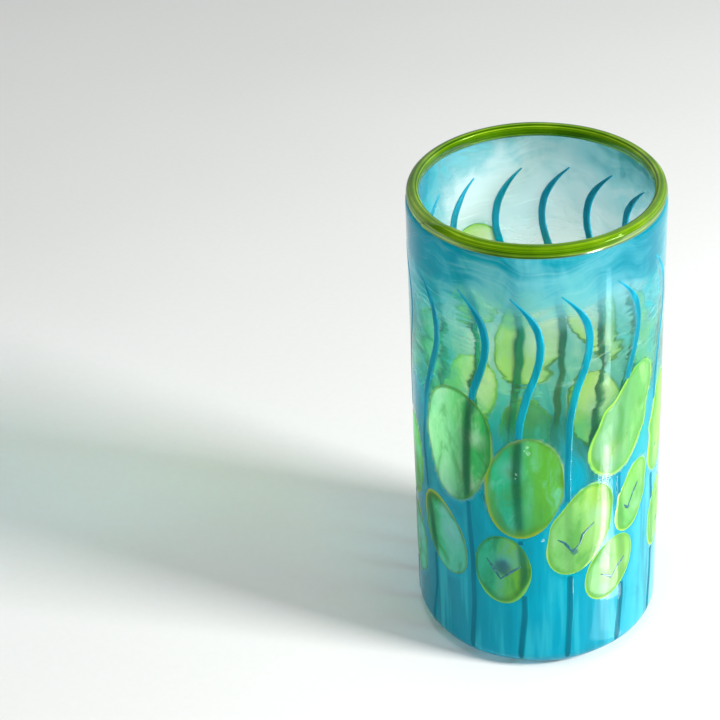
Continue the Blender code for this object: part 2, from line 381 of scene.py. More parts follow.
def make_pad(name, material):
    """A thin lens of glass melted into the wall. Its attribute place holds, in mm, how far across and up a
    point is from the middle and how far from the edge, and cover tells where a cane runs under it."""
    middle, level, fit = pad_shapes[name]
    directions = [2 * pi * i / PAD_SIDES for i in range(PAD_SIDES)]
    edge = np.array([(reach(fit, d) * cos(d), reach(fit, d) * sin(d)) for d in directions])

    def lay(along, radial):
        angle = middle + degrees(along[0] / OUTER_R)
        height = level + along[1]
        return at(angle, height, face_radius(angle, height) + radial)

    shares = [1 - (1 - k / PAD_RINGS) ** 1.6 for k in range(1, PAD_RINGS + 1)]
    layers = [(share, -PAD_MELT - PAD_DEPTH * (1 - share**8)) for share in shares[:-1]]
    layers += [(share, PAD_PROUD - (PAD_PROUD + PAD_MELT) * share**8) for share in shares[::-1]]
    rings = [[lay(along, radial) for along in edge * share] for share, radial in layers]
    poles = [lay((0, 0), -PAD_MELT - PAD_DEPTH), lay((0, 0), PAD_PROUD)]
    pad = loft(name + "_glass", rings, poles)
    flat = np.concatenate([*(edge * share for share, _ in layers), np.zeros((2, 2))])
    from_edge = np.hypot(*(flat[:, None] - edge[None]).transpose(2, 0, 1)).min(axis=1)
    keep(pad, "place", np.column_stack([flat, from_edge]) / MM)
    keep(pad, "cover", over_canes(middle + np.degrees(flat[:, 0] / OUTER_R), level + flat[:, 1]))
    return give(pad, material, "pad_glass", name)


def make_crease(name, path, material):
    """A thin dark line pinched into a pad, along a path in mm from the pad's middle."""
    middle, level, _ = pad_shapes[name]
    stations = []
    for (x0, y0), (x1, y1) in zip(path[:-1], path[1:]):
        for k in range(CREASE_STEPS):
            share = k / CREASE_STEPS
            stations.append(Vector((x0 + (x1 - x0) * share, y0 + (y1 - y0) * share)) * MM)
    stations.append(Vector(path[-1]) * MM)
    rings = []
    for i, along in enumerate(stations):
        ahead = (stations[min(i + 1, len(stations) - 1)] - stations[max(i - 1, 0)]).normalized()
        share = i / (len(stations) - 1)
        half = CREASE_HALF_WIDTH * (0.35 + 0.65 * sin(pi * share)) * (1 + 0.4 * sin(9 * share))
        ring = []
        for k in range(CREASE_SIDES):
            turn = 2 * pi * k / CREASE_SIDES
            beside = along + Vector((-ahead.y, ahead.x)) * half * cos(turn)
            angle = middle + degrees(beside.x / OUTER_R)
            height = level + beside.y
            radial = PAD_PROUD + 0.04 * MM + 0.08 * MM * sin(turn)
            ring.append(at(angle, height, face_radius(angle, height) + radial))
        rings.append(ring)
    return give(loft(name + "_crease", rings), material, "pad_glass")


# ---------------- canes


def cane_line(node):
    """A cane's centre line up the wall as (angle, height, half width), read from its inner face."""
    low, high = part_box(node)
    angles, _, radii = on_wall(points_of(node))
    middle = middle_of(angles)
    core = radii.min() + 0.9 * MM  # the edges of the inner face lie within this radius
    count = round((high.z - low.z) / CANE_SPACING)
    line = []
    for i in range(count + 1):
        height = low.z + (high.z - low.z) * (0.004 + 0.992 * i / count)
        angles, _, radii = cut_at(node, height)
        angles = turn_near(angles[radii < core], middle)
        if len(angles) > 1:
            half = radians(angles.max() - angles.min()) / 2 * OUTER_R
            line.append(((angles.max() + angles.min()) / 2, height, half))
    line = np.array(line)
    for _ in range(3):
        line[1:-1] = line[1:-1] * 0.5 + (line[:-2] + line[2:]) * 0.25
    return line


cane_names = sorted(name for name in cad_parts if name.startswith("cane_"))
cane_lines = {name: cane_line(name) for name in cane_names}


def over_canes(angles, heights):
    """1 where a cane runs under a point of the wall, fading to 0 on either side."""
    most = np.zeros(len(angles))
    for line in cane_lines.values():
        middle = np.interp(heights, line[:, 1], line[:, 0])
        half = np.interp(heights, line[:, 1], line[:, 2])
        away = np.abs(np.radians(turn_near(angles - middle, 0))) * OUTER_R - 0.6 * half
        near = np.clip(1 - away / COVER_FADE, 0, 1) * (heights < line[-1, 1])
        most = np.maximum(most, near)
    return most * most * (3 - 2 * most)


def squared(value, power):
    """A sine or cosine pushed towards 1, which makes a round section boxier."""
    return (1 if value > 0 else -1) * abs(value) ** power


def foot_stations(angle, half):
    """Where a cane runs round the foot's corner, from its faint lower end up: its centre, its side and
    outward directions, half its width and its depth."""
    radial = at(angle, 0, 1)
    side = -radial.cross(Vector((0, 0, 1)))
    pivot = at(angle, CORNER_R, WALL_R - CORNER_R)
    stations = []
    for lean in range(CANE_LEAN, 0, -LEAN_STEP):
        share = 1 - lean / (CANE_LEAN + LEAN_STEP)
        outward = radial * cos(radians(lean)) - Vector((0, 0, sin(radians(lean))))
        centre = pivot + outward * (CORNER_R + CANE_PROUD * (2 * share - 1) - CANE_DEPTH / 2)
        stations.append((centre, side, outward, (half + CANE_SPREAD) * (0.4 + 0.6 * share), CANE_DEPTH / 2))
    return stations


def wall_stations(line):
    """Where a cane runs up the wall, in the same terms. It dips below the pads that cover it."""
    dips = near_pads(line[:, 0], line[:, 1], DIP_BEFORE, DIP_LENGTH)
    stations = []
    for i, (angle, height, half) in enumerate(line):
        before = line[max(i - 1, 0)]
        after = line[min(i + 1, len(line) - 1)]
        ahead = (at(after[0], after[1], WALL_R) - at(before[0], before[1], WALL_R)).normalized()
        outward = at(angle, 0, 1)
        swing = 1 + 0.10 * wave(angle, height, 15 * MM, 21)
        end = min(0.4 + 0.6 * (line[-1][1] - height) / CANE_TAPER, 1)
        half = (half + CANE_SPREAD * max(1 - height / SPREAD_TOP, 0)) * swing * end
        depth = CANE_DEPTH / 2 * min(half / (1.5 * MM), 1)
        proud = CANE_PROUD * min(half / (1.2 * MM), 1)
        face = at(angle, height, face_radius(angle, height))
        centre = face + outward * (proud - depth - CANE_SINK * dips[i])
        stations.append((centre, ahead.cross(outward).normalized(), outward, half, depth))
    return stations


def make_cane(name, material):
    """A drawn thread of glass along its line, flattened. Its attribute place holds, in mm, how far across
    the cane and how high a point is, and how far from the cane's edge."""
    line = cane_lines[name]
    line = line[line[:, 1] > CORNER_R]
    rings = []
    rows = []
    for centre, side, outward, half, depth in foot_stations(line[0][0], line[0][2]) + wall_stations(line):
        ring = []
        for k in range(CANE_SIDES):
            turn = 2 * pi * k / CANE_SIDES
            across = half * squared(cos(turn), 0.7)
            ring.append(centre + side * across + outward * depth * squared(sin(turn), 0.45))
            rows.append((across / MM, centre.z / MM, (half - abs(across)) / MM))
        rings.append(ring)
    cane = loft(name + "_glass", rings)
    rows += [(0, line[0][1] / MM, 0), (0, line[-1][1] / MM, 0)]
    keep(cane, "place", rows)
    return give(cane, material, "cane_glass", name)


# ---------------- bubbles


def make_bubble(number, along, material):
    """A small blister of clear glass: along is how far across and up it lies in mm, and its half width."""
    middle, level, _ = pad_shapes[BUBBLE_PAD]
    centre = (middle + degrees(along[0] * MM / OUTER_R), level + along[1] * MM)
    rings = []
    for lift, share in ((-0.6, 0.7), (-0.2, 0.95), (0.1, 1.0), (0.4, 0.85), (0.6, 0.55), (0.68, 0.25)):
        ring = []
        for k in range(BUBBLE_SIDES):
            turn = 2 * pi * k / BUBBLE_SIDES
            out = along[2] * MM * share * (1 + 0.12 * sin(2 * turn + number))
            angle = centre[0] + degrees(out * cos(turn) / OUTER_R)
            height = centre[1] + 1.25 * out * sin(turn)
            ring.append(at(angle, height, face_radius(angle, height) + PAD_PROUD * 0.5 + BUBBLE_LIFT * lift))
        rings.append(ring)
    return give(loft("bubble_%d_glass" % number, rings), material, "body_glass")


# ---------------- lip wrap


def make_wrap(material):
    """The roll of green glass on the rim, with fine ribs drawn out along it and a lap where its ends meet,
    which the attribute lap marks."""
    rings = []
    laps = []
    for i in range(WRAP_STEPS):
        angle = 360 * i / WRAP_STEPS - 180
        along = radians((angle - LAP_ANGLE + 180) % 360 - 180) * WRAP_RING_R
        size = ROLL_R - WRAP_SPARE + WRAP_UNEVEN * wave(angle, 0, 25 * MM, 5)
        ring = []
        for k in range(WRAP_SIDES):
            turn = 2 * pi * k / WRAP_SIDES
            past = along - LAP_SLANT * sin(turn - pi / 4)
            lap = LAP_RISE * min(max(past / MM, 0), 1) * max(1 - past / LAP_FALL, 0)
            twist = turn + radians(angle) * WRAP_TWIST
            rib = WRAP_RIB_DEPTH * cos(WRAP_RIBS * twist)
            across = WRAP_INNER if cos(turn) < 0 else 1
            down = WRAP_HANG * max(cos(turn), 0) * max(-sin(turn), 0)
            radius = WRAP_RING_R + WRAP_OUT + (size + rib + lap) * across * cos(turn)
            height = TOP - ROLL_R + (size + rib + lap) * sin(turn) - down
            ring.append(at(angle, height, radius))
            laps.append(max(1 - abs(past) / LAP_LINE, 0))
        rings.append(ring)
    wrap = loft("lip_wrap_glass", rings, looped=True)
    keep(wrap, "lap", laps)
    return give(wrap, material, "wrap_glass", "lip_wrap")


# ---------------- materials


class Recipe:
    """A node material in the making."""

    def __init__(self, name):
        self.material = bpy.data.materials.new(name)
        self.material.use_nodes = True
        self.tree = self.material.node_tree
        self.tree.nodes.clear()
        self.place = self.node("TexCoord").outputs["Object"]

    def node(self, kind, sockets=None, **settings):
        """A node with its settings, and values or links for its sockets."""
        made = self.tree.nodes.new("ShaderNode" + kind)
        for name, value in settings.items():
            setattr(made, name, value)
        for name, value in (sockets or {}).items():
            if isinstance(value, bpy.types.NodeSocket):
                self.tree.links.new(value, made.inputs[name])
            else:
                made.inputs[name].default_value = value
        return made

    def math(self, operation, a, b=0.0):
        return self.node("Math", {0: a, 1: b}, operation=operation).outputs[0]

    def plus(self, a, b):
        return self.math("ADD", a, b)

    def times(self, a, b):
        return self.math("MULTIPLY", a, b)

    def rest_of(self, share):
        """What a share leaves of 1."""
        return self.math("SUBTRACT", 1.0, share)

    def swing(self, value, by):
        """A noise turned into a change up or down, by an amount."""
        return self.times(self.math("SUBTRACT", value, 0.5), by)

    def fade(self, value, start, end, low=0.0, high=1.0):
        """A smooth change from low to high as the value goes from start to end."""
        sockets = {"Value": value, "From Min": start, "From Max": end, "To Min": low, "To Max": high}
        return self.node("MapRange", sockets, interpolation_type="SMOOTHSTEP").outputs[0]

    def blend(self, factor, a, b):
        return self.node("Mix", {0: factor, 6: a, 7: b}, data_type="RGBA").outputs[2]

    def blend_value(self, factor, a, b):
        return self.node("Mix", {0: factor, 2: a, 3: b}).outputs[0]

    def ramp(self, value, *stops):
        """Colours by value: each stop is a place from 0 to 1 and a colour."""
        made = self.node("ValToRGB", {"Fac": value})
        keys = made.color_ramp.elements
        while len(keys) < len(stops):
            keys.new(0.5)
        for key, (place, shade) in zip(keys, stops):
            key.position = place
            key.color = shade
        return made.outputs["Color"]

    def levels(self, value, *stops):
        """A number that follows a value through stops, each a place from 0 to 1 and a level."""
        shade = self.ramp(value, *((place, (level, level, level, 1)) for place, level in stops))
        return self.node("RGBToBW", {0: shade}).outputs[0]

    def noise(self, size, stretch=(1, 1, 1), detail=3.0, rough=0.5, place=None, distort=0.0, output="Fac"):
        """Cloudy noise with features of a size in metres, made longer along an axis by its stretch."""
        scale = [1 / (size * s) for s in stretch]
        moved = self.node("Mapping", {"Vector": place or self.place, "Scale": scale}).outputs[0]
        sockets = {"Vector": moved, "Scale": 1, "Detail": detail, "Roughness": rough, "Distortion": distort}
        return self.node("TexNoise", sockets).outputs[output]

    def moved(self, field, by):
        """The place, pushed about by a noise's colour."""
        return self.node("VectorMath", {0: field, 1: by, 2: self.place}, operation="MULTIPLY_ADD").outputs[0]

    def distance(self, flat, spot):
        """How far a flat place is from a spot, given across and up."""
        return self.node("VectorMath", {0: flat, 1: (*spot, 0)}, operation="DISTANCE").outputs["Value"]

    def towards(self, place, way):
        """How far a place lies in a direction."""
        return self.node("VectorMath", {0: place, 1: way}, operation="DOT_PRODUCT").outputs["Value"]

    def axis(self, name):
        """The place along the X, Y or Z axis in metres."""
        return self.node("SeparateXYZ", {0: self.place}).outputs[name]

    def height(self):
        """Height up the vase, 0 at the foot and 1 at the top."""
        return self.math("DIVIDE", self.axis("Z"), TOP)

    def radius(self):
        """Distance from the vase's axis in metres."""
        flat = self.node("VectorMath", {0: self.place, 1: (1, 1, 0)}, operation="MULTIPLY").outputs[0]
        return self.node("VectorMath", {0: flat}, operation="LENGTH").outputs["Value"]

    def stored(self, name):
        """A number that keep stored on the mesh."""
        return self.node("Attribute", attribute_name=name).outputs["Fac"]

    def local(self):
        """The stored place as its three parts."""
        read = self.node("Attribute", attribute_name="place").outputs["Vector"]
        split = self.node("SeparateXYZ", {0: read})
        return split.outputs["X"], split.outputs["Y"], split.outputs["Z"]

    def finish(self, sockets, shadow, glow=0.0):
        """Glass that lets lamps through with a tint, as real glass does. Its glow is the share that lights
        up from behind, as milky glass does."""
        shader = self.node("BsdfPrincipled", sockets)
        if glow:
            through = self.node("BsdfTranslucent", {"Color": sockets["Base Color"]})
            shader = self.node("MixShader", {0: glow, 1: shader.outputs[0], 2: through.outputs[0]})
        clear = self.node("BsdfTransparent", {"Color": shadow})
        path = self.node("LightPath").outputs["Is Shadow Ray"]
        mixed = self.node("MixShader", {0: path, 1: shader.outputs[0], 2: clear.outputs[0]})
        self.node("OutputMaterial", {"Surface": mixed.outputs[0]})
        return self.material


# The wall's glass by height, from 0 at the foot to 1 at the top: how deep its colour is, how much of that
# goes round the back, where the paler glass is partly painted light, and where it has pale streaks of
# painted reflection
DEPTH_LEVELS = [(0.0, 1.0), (0.12, 0.9), (0.30, 0.80), (0.46, 0.66), (0.56, 0.46), (0.67, 0.16)]
DEPTH_LEVELS += [(0.80, 0.20), (0.88, 0.44), (0.97, 0.66)]
BACKLIT_LEVELS = [(0.20, 0.0), (0.45, 0.36), (0.90, 0.36), (1.0, 0.30)]
GLINT_LEVELS = [(0.60, 0.0), (0.68, 1.0), (0.78, 1.0), (0.88, 0.2)]
BACKLIT_WAY = (0.5, 0.86, 0)  # the way to the clearer, paler glass, at the back and a little to the right, which is partly painted light for light shining through the back
UNDER_CLEAR = 0.8  # how much of the wall's colour and milk goes under a pad
WALL_IOR = 1.22  # low, so that the inlays behind the front wall stay readable
INLAY_IOR = 1.01  # a cane or pad lies in the wall and hardly bends light. Its coat has the gloss.
INLAY_COAT = {"IOR": INLAY_IOR, "Coat Roughness": 0.04, "Coat IOR": WALL_IOR}
GREY = (0.5, 0.5, 0.5, 1)  # a shadow's colour is half the glass's and half this


def wall_depth(r, up, back, smoke, swirled, swept):
    """How deep the outer face's colour is, how much of that goes round the back as partly painted light, and
    the wisps in it.
    """
    leaning = r.node("Mapping", {"Vector": swirled, "Rotation": (0, radians(14), 0)}).outputs[0]
    threads = r.noise(10 * MM, (1, 1, 8), 4, 0.55, leaning)
    wisps = r.swing(r.noise(10 * MM, (6, 6, 1), 4, 0.6, swept), r.fade(up, 0.74, 0.90, 0.0, 0.8))
    aside = r.fade(r.math("ABSOLUTE", r.axis("X")), 22 * MM, 58 * MM, 0.0, 0.34)
    backlit_clearing = r.times(back, r.levels(up, *BACKLIT_LEVELS))
    depth = r.math("SUBTRACT", r.levels(up, *DEPTH_LEVELS), backlit_clearing)
    for part in (r.swing(smoke, 0.6), r.swing(threads, 0.5), r.times(aside, r.fade(up, 0.2, 0.6)), wisps):
        depth = r.plus(depth, part)
    return depth, backlit_clearing, wisps


def wall_tint(r, up, back, depth, band):
    """The outer face's colour: blue and teal where it is deep and nearly clear where it isn't, murky in the
    band at the top with painted shade on its right, and changed near the foot by bars, by painted shade on
    the left and painted light on the right."""
    across = r.axis("X")
    deep = r.fade(depth, 0.62, 0.92)
    blue = r.blend(deep, colour(0, 178, 204), colour(0, 146, 172))
    teal = r.blend(deep, colour(20, 176, 186), colour(0, 146, 160))
    strong = r.blend(r.fade(up, 0.45, 0.8), blue, teal)
    weak_high = r.ramp(depth, (0.06, colour(234, 248, 248)), (0.34, colour(140, 214, 222)))
    weak_low = r.ramp(depth, (0.06, colour(222, 246, 190)), (0.40, colour(100, 196, 160)))
    high = r.math("MAXIMUM", r.fade(up, 0.70, 0.84), r.times(back, r.fade(up, 0.56, 0.70)))
    weak = r.blend(high, weak_low, weak_high)
    tint = r.blend(r.fade(depth, 0.34, r.fade(up, 0.78, 0.9, 0.66, 0.88)), weak, strong)
    murk = r.blend(r.fade(depth, 0.45, 0.85), colour(74, 160, 172), colour(0, 128, 150))
    # Painted shade: the band is darker towards the right side, where the key light falls on it
    murk = r.blend(r.fade(across, 0.0, 45 * MM, 0.0, 0.8), murk, colour(0, 100, 124))
    tint = r.blend(r.times(band, 0.75), tint, murk)
    bars = r.noise(6 * MM, (1, 1, 14), 2, 0.5)
    # Near the foot: painted shade darkens the left side and painted light brightens the right side, where
    # the key light falls. The bars are streaks in the glass.
    for share, end, shade in (
        (r.fade(across, -60 * MM, -10 * MM, 0.7, 0.0), 0.60, colour(0, 104, 120)),
        (r.fade(across, 10 * MM, 60 * MM, 0.0, 0.55), 0.60, colour(84, 208, 226)),
        (r.fade(bars, 0.50, 0.70, 0.0, 0.30), 0.55, colour(70, 206, 214)),
        (r.fade(bars, 0.30, 0.48, 0.50, 0.0), 0.55, colour(0, 130, 150)),
    ):
        tint = r.blend(r.times(share, r.fade(up, end - 0.25, end, 1.0, 0.0)), tint, shade)
    return tint


def wall_glass():
    """Smoky turquoise on the outer face, pale and milky on the inner one, clearer and paler round the back,
    which is partly painted light.
    """
    r = Recipe("turquoise_glass")
    up = r.height()
    back = r.fade(r.towards(r.place, BACKLIT_WAY), -10 * MM, 35 * MM)
    warp = r.noise(50 * MM, detail=2, output="Color")
    swirled = r.moved(warp, (60 * MM, 60 * MM, 60 * MM))
    swept = r.moved(warp, (0, 0, 50 * MM))
    smoke = r.noise(35 * MM, (1, 1, 1.5), 4, 0.55, swirled)

    # The outer face
    depth, backlit_clearing, wisps = wall_depth(r, up, back, smoke, swirled, swept)
    band = r.times(r.fade(r.plus(up, r.times(wisps, 0.15)), 0.80, 0.92), r.rest_of(back))
    tint = wall_tint(r, up, back, depth, band)
    halo = r.blend(r.fade(up, 0.42, 0.62), colour(0, 150, 172), colour(60, 176, 130))
    tint = r.blend(r.times(r.stored("halo"), 0.55), tint, halo)
    under = r.times(r.stored("under"), r.math("MAXIMUM", back, r.fade(up, 0.36, 0.50)))
    under = r.times(under, UNDER_CLEAR)
    tint = r.blend(under, tint, colour(232, 252, 220))
    # Painted reflection: pale, milky streaks across the middle of the wall that stand for reflected light
    glint_noise = r.noise(2.2 * MM, (16, 16, 1), 3, 0.55, swept)
    painted_glints = r.times(r.fade(glint_noise, 0.55, 0.70, 0.0, 0.28), r.levels(up, *GLINT_LEVELS))
    tint = r.blend(painted_glints, tint, colour(222, 244, 236))
    # Round the back, near the top, the glass is milkier, which is partly painted light
    milk = r.plus(
        r.fade(depth, 0.28, 0.95, 0.015, 0.80),
        r.times(backlit_clearing, r.fade(up, 0.6, 0.85, 0.25, 0.9)),
    )
    milk = r.math("MAXIMUM", r.plus(milk, r.times(painted_glints, 0.4)), r.times(band, 0.84))
    milk = r.times(milk, r.rest_of(under))

    # The inner face, which has ripples that smear what is seen through it
    inside = r.fade(r.radius(), INNER_R + 1.5 * MM, INNER_R + 2.5 * MM, 1.0, 0.0)
    inside = r.times(inside, r.fade(up, 0.4 * FLOOR_Z / TOP, 0.5 * FLOOR_Z / TOP))
    pale = r.ramp(
        smoke,
        (0.35, colour(216, 236, 236)),
        (0.62, colour(176, 216, 220)),
        (0.80, colour(70, 172, 186)),
    )
    pale = r.blend(r.fade(up, 0.84, 0.66, 0.0, 0.85), pale, colour(236, 248, 238))
    pale = r.blend(r.fade(up, 0.80, 0.98, 0.0, 0.56), pale, colour(76, 170, 186))
    ripples = r.noise(20 * MM, (4, 4, 0.35), 2.2, 0.5)
    ripples = r.times(ripples, r.plus(r.times(inside, r.fade(up, 0.25, 0.45)), 0.08))

    base = r.blend(inside, tint, pale)
    milk = r.blend_value(inside, milk, r.fade(smoke, 0.3, 0.7, 0.01, 0.05))
    sockets = {
        "Base Color": base,
        "Roughness": r.blend_value(inside, r.fade(smoke, 0.3, 0.7, 0.05, 0.10), 0.03),
        "IOR": WALL_IOR,
        "Specular Tint": (0.35, 0.9, 1, 1),
        "Transmission Weight": r.rest_of(milk),
        "Normal": r.node("Bump", {"Strength": 0.6, "Distance": 0.8 * MM, "Height": ripples}).outputs[0],
    }
    shadow = r.blend(inside, r.blend(0.5, base, GREY), (0.88, 0.9, 0.9, 1))
    return r.finish(sockets, shadow)


def cane_glass():
    """Teal with lighter edges, where the thread is thin, and green on the side towards the wall."""
    r = Recipe("teal_cane_glass")
    _, up, from_edge = r.local()
    streak = r.noise(4 * MM, (1, 1, 8), 3, 0.5)
    core = r.ramp(
        streak,
        (0.30, colour(0, 120, 138)),
        (0.55, colour(0, 144, 168)),
        (0.75, colour(10, 170, 196)),
    )
    low = r.fade(up, 60.0, 150.0, 1.0, 0.0)
    core = r.blend(r.times(low, 0.8), core, colour(0, 104, 124))
    inner = r.fade(r.radius(), WALL_R - 0.75 * CANE_DEPTH, WALL_R - 0.35 * CANE_DEPTH, 0.9, 0.0)
    inner = r.times(inner, r.fade(up, 170.0, 195.0, 1.0, 0.0))
    core = r.blend(inner, core, colour(30, 160, 108))
    edge = r.fade(from_edge, 0.1, r.plus(0.9, r.times(low, 0.5)), 0.85, 0.0)
    edge = r.times(edge, r.rest_of(inner))
    base = r.blend(edge, core, r.blend(low, colour(36, 180, 206), colour(0, 160, 178)))
    sockets = {
        "Base Color": base,
        "Roughness": r.fade(streak, 0.3, 0.7, 0.05, 0.12),
        "Transmission Weight": 0.30,
        "Coat Weight": 0.5,
        **INLAY_COAT,
    }
    return r.finish(sockets, r.blend(0.5, base, GREY))


def pad_glass(name, style):
    """A pad: a bright line round its edge, a tint that changes from left to right and a milky spot."""
    r = Recipe(name)
    tints = {part: colour(*style[part]) for part in ("left", "right", "milk", "shade", "under", "rim")}
    across, up, from_edge = r.local()
    flat = r.node("CombineXYZ", {0: across, 1: up}).outputs[0]
    cloud = r.noise(12 * MM, (1, 1, 2.2), 4, 0.6, distort=0.6)
    streak = r.noise(4 * MM, (1, 1, 7), 3, 0.55)

    base = r.blend(r.fade(r.plus(across, r.swing(cloud, 22.0)), -9.0, 9.0), tints["left"], tints["right"])
    base = r.blend(r.fade(streak, 0.50, 0.72, 0.0, style["streaks"]), base, tints["milk"])
    *spot_at, spot_size = style["spot"]
    spot = r.plus(r.distance(flat, spot_at), r.swing(cloud, 12.0))
    base = r.blend(r.fade(spot, 0.0, spot_size, 0.8, 0.0), base, tints["milk"])
    base = r.blend(r.fade(cloud, 0.50, 0.66, 0.0, 0.5), base, tints["milk"])
    base = r.blend(r.fade(cloud, 0.34, 0.48, 0.45, 0.0), base, tints["shade"])
    if "mark" in style:
        *mark_at, mark_size = style["mark"]
        mark = r.plus(r.distance(flat, mark_at), r.swing(cloud, 5.0))
        mark = r.fade(mark, 0.4 * mark_size, 1.1 * mark_size, 0.8, 0.0)
        base = r.blend(mark, base, colour(*MARK_COLOUR))
    cover = r.stored("cover")
    base = r.blend(r.times(cover, style["band"]), base, tints["under"])

    *heavy_way, growth = style["heavy"]
    width = r.fade(
        r.towards(flat, (*heavy_way, 0)), 2.0, 16.0, style["rim_width"], style["rim_width"] * growth
    )
    wobble = r.plus(from_edge, r.swing(cloud, r.times(width, 1.6)))
    thick = r.math("DIVIDE", wobble, width)
    ring = r.fade(thick, 0.5, 1.5, 1.0, 0.0)
    base = r.blend(r.fade(thick, 1.1, 3.4, 0.65, 0.0), base, tints["shade"])
    base = r.blend(ring, base, tints["rim"])
    base = r.blend(r.fade(from_edge, 0.12, 0.45, 0.8, 0.0), base, colour(*OUTLINE_COLOUR))

    body = r.fade(cloud, 0.3, 0.7, style["body"], style["body"] + 0.2)
    milk = r.plus(r.times(ring, 0.6), r.plus(r.times(cover, 0.2), body))
    sockets = {
        "Base Color": base,
        "Roughness": r.fade(cloud, 0.3, 0.7, 0.05, 0.12),
        "Transmission Weight": r.rest_of(milk),
        "Coat Weight": 1.0,
        **INLAY_COAT,
    }
    return r.finish(sockets, r.blend(0.5, base, (0.6, 0.6, 0.6, 1)), style["glow"])


def crease_glass():
    """The grey blue of a pinch."""
    r = Recipe("crease_glass")
    grain = r.noise(2 * MM, detail=2)
    base = r.ramp(grain, (0.40, colour(*CREASE_COLOUR)), (0.75, colour(*MARK_COLOUR)))
    sockets = {"Base Color": base, "Roughness": r.fade(grain, 0.3, 0.7, 0.15, 0.25), "IOR": 1.3}
    return r.finish(sockets, r.blend(0.5, base, GREY))


def bubble_glass():
    """Nearly clear, with a breath of turquoise."""
    r = Recipe("bubble_glass")
    cloud = r.noise(1.5 * MM, detail=2)
    base = r.ramp(cloud, (0.3, colour(200, 240, 240)), (0.7, colour(250, 255, 255)))
    sockets = {
        "Base Color": base,
        "Roughness": 0.03,
        "IOR": 1.45,
        "Transmission Weight": 0.85,
    }
    return r.finish(sockets, r.blend(0.5, base, (1, 1, 1, 1)))


def wrap_glass():
    """Streaky green, its stripes drawn out along the roll."""
    r = Recipe("green_wrap_glass")
    section = r.node("CombineXYZ", {0: r.radius(), 1: r.axis("Z")}).outputs[0]
    lines = r.noise(1.1 * MM, detail=2, rough=0.6, place=section)
    cloud = r.noise(20 * MM)
    base = r.ramp(
        r.plus(r.times(lines, 0.75), r.times(cloud, 0.25)),
        (0.36, colour(44, 82, 0)),
        (0.46, colour(74, 118, 2)),
        (0.55, colour(102, 144, 6)),
        (0.64, colour(158, 190, 42)),
    )
    base = r.blend(r.times(r.stored("lap"), 0.7), base, colour(30, 62, 0))
    bump = r.node("Bump", {"Strength": 0.25, "Distance": 0.3 * MM, "Height": lines}).outputs[0]
    sockets = {
        "Base Color": base,
        "Roughness": r.fade(cloud, 0.3, 0.7, 0.05, 0.11),
        "IOR": 1.33,
        "Specular Tint": (0.55, 0.9, 0.2, 1),
        "Transmission Weight": 0.15,
        "Normal": bump,
    }
    return r.finish(sockets, r.blend(0.3, base, (1, 1, 1, 1)), 0.22)


MARK_COLOUR = (84, 140, 150)  # the grey blue where a pad was pinched
CREASE_COLOUR = (14, 84, 98)
OUTLINE_COLOUR = (0, 130, 140)

# Each pad's glass. left, right, milk, shade, rim and under are screen colours, the last where a cane runs
# under the pad, which shows as strongly as band. rim_width is the width in mm of the line round the edge,
# and heavy the side on which it grows, and by how much. spot is the milky spot's place in mm and its size,
# and mark the pinched one's. body is how milky the pad is, and glow how much it lights up from behind.
LIME = {
    "left": (182, 236, 136),
    "right": (202, 236, 122),
    "milk": (202, 234, 172),
    "shade": (134, 204, 78),
    "rim": (204, 234, 84),
    "under": (60, 160, 84),
    "band": 0.5,
    "rim_width": 1.1,
    "streaks": 0.3,
    "spot": (8, 9, 9),
    "heavy": (-0.3, -0.9, 1.5),
    "body": 0.40,
    "glow": 0.4,
}
MILKY = {
    **LIME,
    "left": (206, 250, 216),
    "right": (104, 218, 142),
    "milk": (240, 255, 234),
    "shade": (96, 180, 84),
    "rim": (180, 220, 84),
    "under": (0, 120, 84),
    "band": 0.85,
    "rim_width": 0.85,
    "streaks": 0.4,
    "spot": (12, 9, 8),
    "heavy": (0.6, -0.6, 1.5),
    "body": 0.14,
    "glow": 0.3,
}
GREEN = {
    **LIME,
    "left": (80, 226, 180),
    "right": (134, 212, 88),
    "milk": (150, 240, 232),
    "shade": (136, 190, 50),
    "rim": (156, 184, 48),
    "under": (0, 124, 84),
    "band": 0.85,
    "rim_width": 0.95,
    "spot": (-6.6, 12, 10),
    "heavy": (-0.7, -0.7, 3.0),
    "body": 0.32,
}
AQUA = {
    **GREEN,
    "left": (96, 220, 150),
    "right": (130, 236, 200),
    "milk": (180, 240, 226),
    "shade": (110, 160, 60),
    "rim": (170, 190, 70),
    "spot": (5, 4, 12),
    "heavy": (-0.6, 0.8, 2.5),
}
BOTTLE = {
    **GREEN,
    "left": (84, 226, 176),
    "right": (166, 228, 84),
    "milk": (110, 210, 214),
    "shade": (84, 164, 70),
    "rim": (128, 204, 96),
    "spot": (1, 6, 8),
    "mark": (0.5, 2.0, 6.5),
    "heavy": (0.2, -0.95, 2.5),
}
# The glass of the back pads: a paler copy of the lime glass, painted light that stands for the light shining
# through them from behind
BACKLIT_CREAM = {
    **LIME,
    "left": (248, 252, 206),
    "right": (220, 246, 140),
    "milk": (255, 255, 244),
    "shade": (206, 238, 120),
    "rim": (190, 216, 90),
    "under": (0, 120, 70),
    "band": 0.9,
    "spot": (0, 0, 14),
    "body": -0.05,
    "glow": 0.03,
}
STYLES = {
    "milky": MILKY,
    "green": GREEN,
    "aqua": AQUA,
    "bottle": BOTTLE,
    "pinched": {**LIME, "mark": (-3.5, -12.5, 2.2)},
    "small": {**LIME, "spot": (-4, -12, 8), "mark": (0.5, -6.5, 1.6)},
    "slim": {**LIME, "right": (158, 216, 120), "spot": (3, -7, 6), "mark": (-2.5, -6.0, 1.4)},
    "pear": {**LIME, "left": (172, 224, 180), "right": (150, 216, 140), "spot": (-6, -15, 9)},
    "cream": BACKLIT_CREAM,
}

